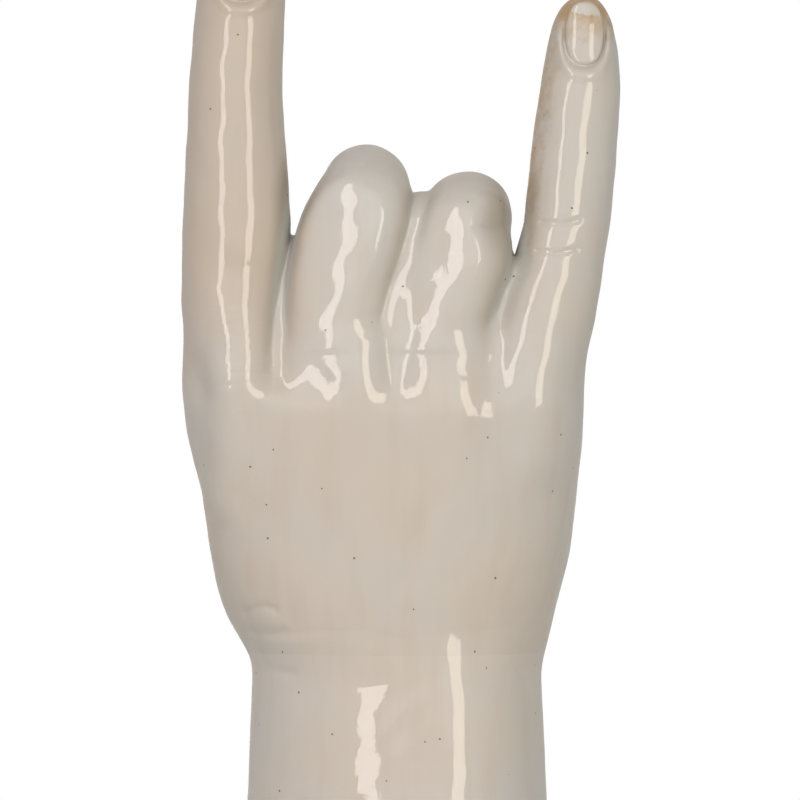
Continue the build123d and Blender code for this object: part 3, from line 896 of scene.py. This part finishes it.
def addMesh(name, vertices, faces, loopNormals=None, attributes=None):
    mesh = bpy.data.meshes.new(name)
    single = faces[:, 2] != faces[:, 3]
    outlines = [corners if four else corners[:3] for corners, four in zip(faces.tolist(), single)]
    mesh.from_pydata(vertices.tolist(), [], outlines)
    mesh.polygons.foreach_set("use_smooth", [True] * len(faces))
    for label, values in (attributes or {}).items():
        layer = mesh.attributes.new(label, "FLOAT", "POINT")
        layer.data.foreach_set("value", values.astype(np.float32))
    if loopNormals is not None:
        kept = np.ones(faces.shape, bool)
        kept[:, 3] = single
        mesh.normals_split_custom_set(loopNormals[kept].tolist())
    piece = bpy.data.objects.new(name, mesh)
    bpy.context.scene.collection.objects.link(piece)
    return piece


def castShell(name, faces, outer, outerNormals, steps, glazingAndShade):
    # the glazed outside, the wall's inside, and the rim that meets the next casting
    used, local = np.unique(faces, return_inverse=True)
    local = local.reshape(-1, 4)
    vertices = outer[:, used]
    inner = vertices - steps[:, used]
    inwards = steps / np.sqrt((steps**2).sum(0))
    count = len(used)
    edges = np.vstack([local[:, [i, (i + 1) % 4]] for i in range(4)])
    edges = edges[edges[:, 0] != edges[:, 1]]
    keys = edges[:, 0] * count + edges[:, 1]
    rim = edges[~np.isin(keys, edges[:, 1] * count + edges[:, 0])]
    rimFaces = np.column_stack([rim[:, 1], rim[:, 0], rim[:, 0] + count, rim[:, 1] + count])
    triangle = (local[:, 2] == local[:, 3])[:, None]
    backwards = np.where(triangle, local[:, [1, 0, 2, 2]], local[:, ::-1])
    allFaces = np.vstack([local, backwards + count, rimFaces])
    allPoints = np.hstack([vertices, inner]).T * millimetre
    both = np.hstack([outerNormals[:, used], -inwards[:, used]]).T
    loopNormals = both[allFaces]
    loopNormals[-len(rimFaces):] = faceNormals(allPoints, rimFaces)[:, None, :]
    values = {label: np.append(value[used], np.zeros(count)) for label, value in glazingAndShade.items()}
    return addMesh(name, allPoints, allFaces, loopNormals, values)


print("castings: cutting the hand into its pieces")
for order, name in enumerate(pieceNames[1:], 1):
    piece = castShell("glazed_" + name, quads[owners == order], points, normals, innerSteps,
                      glazeAndShadeValues)
    piece.data.materials.append(glaze)
    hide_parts(name)
    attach(piece, "root")

# forearm: rings of points drawn onto the same clay
forearm = {"segments": 176, "footHeight": 2.0, "footRound": 1.8,
           "ringStep": 1.8, "fineStep": 1.0, "fineAbove": 190.0,
           "glazeLine": 5.0, "slopeStep": 0.35}


def makeForearm(look):
    fineCount = int((wristHeight - look["fineAbove"]) / look["fineStep"]) + 1
    heights = np.hstack([
        np.arange(look["footHeight"] + look["footRound"], look["fineAbove"], look["ringStep"]),
        np.linspace(look["fineAbove"], wristHeight, fineCount)])
    turns = np.linspace(0, 2 * math.pi, look["segments"], endpoint=False)
    rings = []
    for height in heights:
        left, right, ridge, back, middle, front, power = (np.interp(height, bodyTable[0], c)
                                                          for c in bodyTable[1:])
        x = (left + right) / 2 + (right - left) / 2 * np.cos(turns)
        y = (back + front) / 2 + (front - back) / 2 * np.sin(turns)
        rings.append(np.array([x, y, np.full(len(turns), height)]))
    outer = settle(hand, np.hstack(rings), 5, level=True)
    outerNormals = normalsOf(hand, outer, look["slopeStep"])
    inwards = normalsOf(smoothHand, outer, broadStep)
    inwards[2] = 0
    inwards /= np.sqrt((inwards**2).sum(0))
    # the foot's edge is wiped round before firing
    foot, footNormals = [], []
    first, firstOut = outer[:, :len(turns)], inwards[:, :len(turns)]
    for share in (0.0, 0.35, 0.7):
        angle = share * math.pi / 2
        ring = first - firstOut * look["footRound"] * (1 - math.sin(angle))
        ring[2] = look["footHeight"] + look["footRound"] * (1 - math.cos(angle))
        foot.append(ring)
        footNormals.append(firstOut * math.sin(angle) + np.array([0, 0, -math.cos(angle)])[:, None])
    inner = outer - inwards * wall["foot"]
    innerFoot = first - firstOut * wall["foot"]
    innerFoot[2] = look["footHeight"]
    allRings = np.hstack(foot + [outer, inner])
    count, ringCount = len(turns), len(heights)
    outside = np.arange((ringCount + 3) * count).reshape(-1, count)
    inside = (ringCount + 3) * count + np.arange(ringCount * count).reshape(-1, count)
    footIndex = (2 * ringCount + 3) * count + np.arange(count)
    allPoints = np.hstack([allRings, innerFoot])

    def band(a, b):
        return np.column_stack([a, np.roll(a, -1), np.roll(b, -1), b])

    outsideFaces = np.vstack([band(a, b) for a, b in zip(outside, outside[1:])])
    insideFaces = np.vstack([band(b, a) for a, b in zip(inside, inside[1:])])
    lip = band(outside[-1], inside[-1])
    under = np.vstack([band(footIndex, outside[0]), band(inside[0], footIndex)])
    faces = np.vstack([outsideFaces, insideFaces, lip, under])
    normalsAll = np.hstack(footNormals + [outerNormals, -inwards, -inwards[:, :count]]).T
    loopNormals = normalsAll[faces]
    flatFaces = len(lip) + len(under)
    loopNormals[-flatFaces:] = faceNormals(allPoints.T, faces[-flatFaces:])[:, None, :]
    none = np.zeros(allPoints.shape[1])
    # painted shade in the forearm's pressed lines
    paintedShadeInCreases = none.copy()
    paintedShadeInCreases[3 * count:(ringCount + 3) * count] = buried(hand, outer, outerNormals,
                                                       glazeAndShadeReach["paintedShadeInCreases"])
    return addMesh("glazed_forearm", allPoints.T * millimetre, faces, loopNormals,
                   {"pooling": none, "paintedShadeInCreases": paintedShadeInCreases, "between": none, "burnt": none})


print("forearm: drawing the rings")
forearmPiece = makeForearm(forearm)
forearmPiece.data.materials.append(glaze)
forearmPiece.data.materials.append(bareClay)
for face in forearmPiece.data.polygons:
    outwards = face.center.x * face.normal.x + face.center.y * face.normal.y > 0
    if face.center.z < forearm["glazeLine"] * millimetre or (not outwards and face.normal.z < 0.5):
        face.material_index = 1
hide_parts("forearm")
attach(forearmPiece, "root")

# the foot: a clay disc luted inside it, and the felt glued under both
baseDisc = {"halfWidth": 40.3, "halfDepth": 34.3, "bore": 9.0, "low": 2.0, "high": 8.0,
            "round": 0.9, "lumps": 0.12}
feltPad = {"halfWidth": 43.6, "halfDepth": 37.6, "bore": 11.0, "low": 0.0, "high": 2.0,
           "round": 0.5, "lumps": 0.1}


def makeRingSlab(name, look, segments=160):
    # a flat oval slab with a round hole: its section is drawn once round, from the hole's top edge
    # outwards and back underneath
    low, high, soft = look["low"], look["high"], look["round"]
    width = (look["halfWidth"] + look["halfDepth"]) / 2 - look["bore"]
    corner = soft / width
    across = [corner] + list(np.linspace(0.04, 0.96, 26)) + [1 - corner]
    arc = [(1 - math.sin(t), 1 - math.cos(t)) for t in (math.pi / 6, math.pi / 3, math.pi / 2)]
    section = [(share, high) for share in across]
    section += [(1 - corner * aside, high - soft * down) for aside, down in arc]
    section += [(1 - corner * aside, low + soft * down) for aside, down in arc[::-1]]
    section += [(share, low) for share in across[::-1]]
    section += [(corner * aside, low + soft * down) for aside, down in arc]
    section += [(corner * aside, high - soft * down) for aside, down in arc[::-1]]
    turns = np.linspace(0, 2 * math.pi, segments, endpoint=False)
    bore = look["bore"] * np.array([np.cos(turns), np.sin(turns)])
    rim = np.array([look["halfWidth"] * np.cos(turns), look["halfDepth"] * np.sin(turns)])
    rim *= 1 - 0.002 * (1 + np.sin(9 * turns + 1.0) * np.sin(4 * turns))    # cut by hand
    rings = []
    for share, height in section:
        x, y = bore + (rim - bore) * share
        lump = np.sin(x / 1.7 + 2 * np.sin(y / 3.1)) * np.sin(y / 1.9 + np.sin(x / 2.3))
        lump = look["lumps"] * (0.5 + 0.5 * lump)
        z = np.full(segments, height) + (lump if height < (low + high) / 2 else -lump)
        rings.append(np.array([x, y, z]))
    points = np.hstack(rings)
    order = np.arange(points.shape[1]).reshape(-1, segments)
    faces = np.vstack([np.column_stack([a, b, np.roll(b, -1), np.roll(a, -1)])
                       for a, b in zip(order, np.roll(order, -1, 0))])
    return addMesh(name, points.T * millimetre, faces)


print("foot: base disc and felt")
discPiece = makeRingSlab("bare_clay_base_disc", baseDisc)
discPiece.data.materials.append(bareClay)
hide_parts("base_disc")
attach(discPiece, "root")
feltPiece = makeRingSlab("felt_pad", feltPad, 320)
feltPiece.data.materials.append(felt)
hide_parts("felt_base_pad")
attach(feltPiece, "root")

print("studio: camera, lights and floor")
camera = {"distance": 1.6, "height": 0.270, "frame": 0.200, "sensor": 36.0, "near": 0.05, "far": 20}
cameraData = bpy.data.cameras.new("camera")
cameraData.sensor_width = camera["sensor"]
cameraData.lens = camera["sensor"] * camera["distance"] / camera["frame"]
cameraData.clip_start, cameraData.clip_end = camera["near"], camera["far"]
cameraObject = bpy.data.objects.new("camera", cameraData)
cameraObject.location = (0, -camera["distance"], camera["height"])
cameraObject.rotation_euler = (math.pi / 2, 0, 0)
bpy.context.scene.collection.objects.link(cameraObject)
bpy.context.scene.camera = cameraObject


# upright strip boxes, each set by where its reflection has to fall: degrees round from the camera,
# lowest and highest in degrees above the hand, width in degrees, radiance, colour, distance, and
# whether the glaze mirrors it
stripLights = {
    "stripLeft": (-29, -3.5, 46, 10.5, 8.0, "#fff3f0", 1.1, True),
    "stripRight": (30, -3.5, 24, 14, 7.6, "#fff4e2", 1.1, True),
    "fillFront": (0, 4, 44, 44, 1.0, "#f6f9ff", 1.9, True),
    "fillBehind": (180, 2, 40, 40, 2.3, "#fafbff", 1.9, False),
    "stripBehind": (-171, -13, 9, 7, 5.0, "#fff6ec", 1.1, True),
}
for name, values in stripLights.items():
    azimuth, lowest, highest, width, radiance, colour, distance, mirrored = values
    turn = math.radians(azimuth)
    low, high = (distance * math.tan(math.radians(angle)) for angle in (lowest, highest))
    data = bpy.data.lights.new(name, "AREA")
    data.shape = "RECTANGLE"
    data.size = 2 * distance * math.tan(math.radians(width / 2))
    data.size_y = high - low
    data.energy = radiance * math.pi * data.size * data.size_y
    data.color = toLinear(colour)[:3]
    light = bpy.data.objects.new(name, data)
    light.location = (distance * math.sin(turn), -distance * math.cos(turn),
                      camera["height"] + (low + high) / 2)
    light.rotation_euler = (math.pi / 2, 0, turn)
    light.visible_camera = False
    light.visible_glossy = mirrored
    bpy.context.scene.collection.objects.link(light)


def seenWhite(tree):
    # 1 for what the camera sees straight on, mirrored or through something clear, and 0 for light
    path = addNode(tree, "ShaderNodeLightPath")
    seen = addNode(tree, "ShaderNodeMath", {"operation": "MAXIMUM"},
                   {0: path.outputs["Is Camera Ray"], 1: path.outputs["Is Glossy Ray"]})
    seenThrough = addNode(tree, "ShaderNodeMath", {"operation": "MAXIMUM"},
                          {0: seen.outputs[0], 1: path.outputs["Is Transmission Ray"]})
    return seenThrough.outputs[0]


# seen, mirrored or looked through, the studio is white; what it sheds on the hand is softer
world = bpy.data.worlds.new("studio")
bpy.context.scene.world = world
world.use_nodes = True
tree = world.node_tree
tree.nodes.clear()
strength = addNode(tree, "ShaderNodeMapRange", {"To Min": 0.305, "To Max": 1.0},
                   {"Value": seenWhite(tree)})
background = addNode(tree, "ShaderNodeBackground", {"Color": (1, 1, 1, 1)},
                     {"Strength": strength.outputs[0]})
addNode(tree, "ShaderNodeOutputWorld", {}, {0: background.outputs[0]})

floorLook = {"colour": "#eeeeec", "radius": 1.5, "white": 0.75}


def makeFloor(look):
    # a pale matt sweep, whitened for the camera but still holding the shadow
    material, tree, colours, place = newMaterial("paleMattPaperSweep", {"paper": look["colour"]})
    share = addNode(tree, "ShaderNodeMath", {"operation": "MULTIPLY", 1: look["white"]},
                    {0: seenWhite(tree)})
    paper = addNode(tree, "ShaderNodeBsdfDiffuse", {"Color": colours["paper"]})
    white = addNode(tree, "ShaderNodeEmission", {"Color": (1, 1, 1, 1), "Strength": 1.0})
    mixed = addNode(tree, "ShaderNodeMixShader", {}, {0: share.outputs[0], 1: paper.outputs[0],
                                                      2: white.outputs[0]})
    addNode(tree, "ShaderNodeOutputMaterial", {}, {0: mixed.outputs[0]})
    turns = np.linspace(0, 2 * math.pi, 96, endpoint=False)
    mesh = bpy.data.meshes.new("floor")
    rim = [(look["radius"] * math.cos(t), look["radius"] * math.sin(t), 0) for t in turns]
    mesh.from_pydata(rim, [], [list(range(len(rim)))])
    mesh.materials.append(material)
    floor = bpy.data.objects.new("floor", mesh)
    bpy.context.scene.collection.objects.link(floor)


makeFloor(floorLook)

bpy.context.scene.view_settings.view_transform = "Standard"
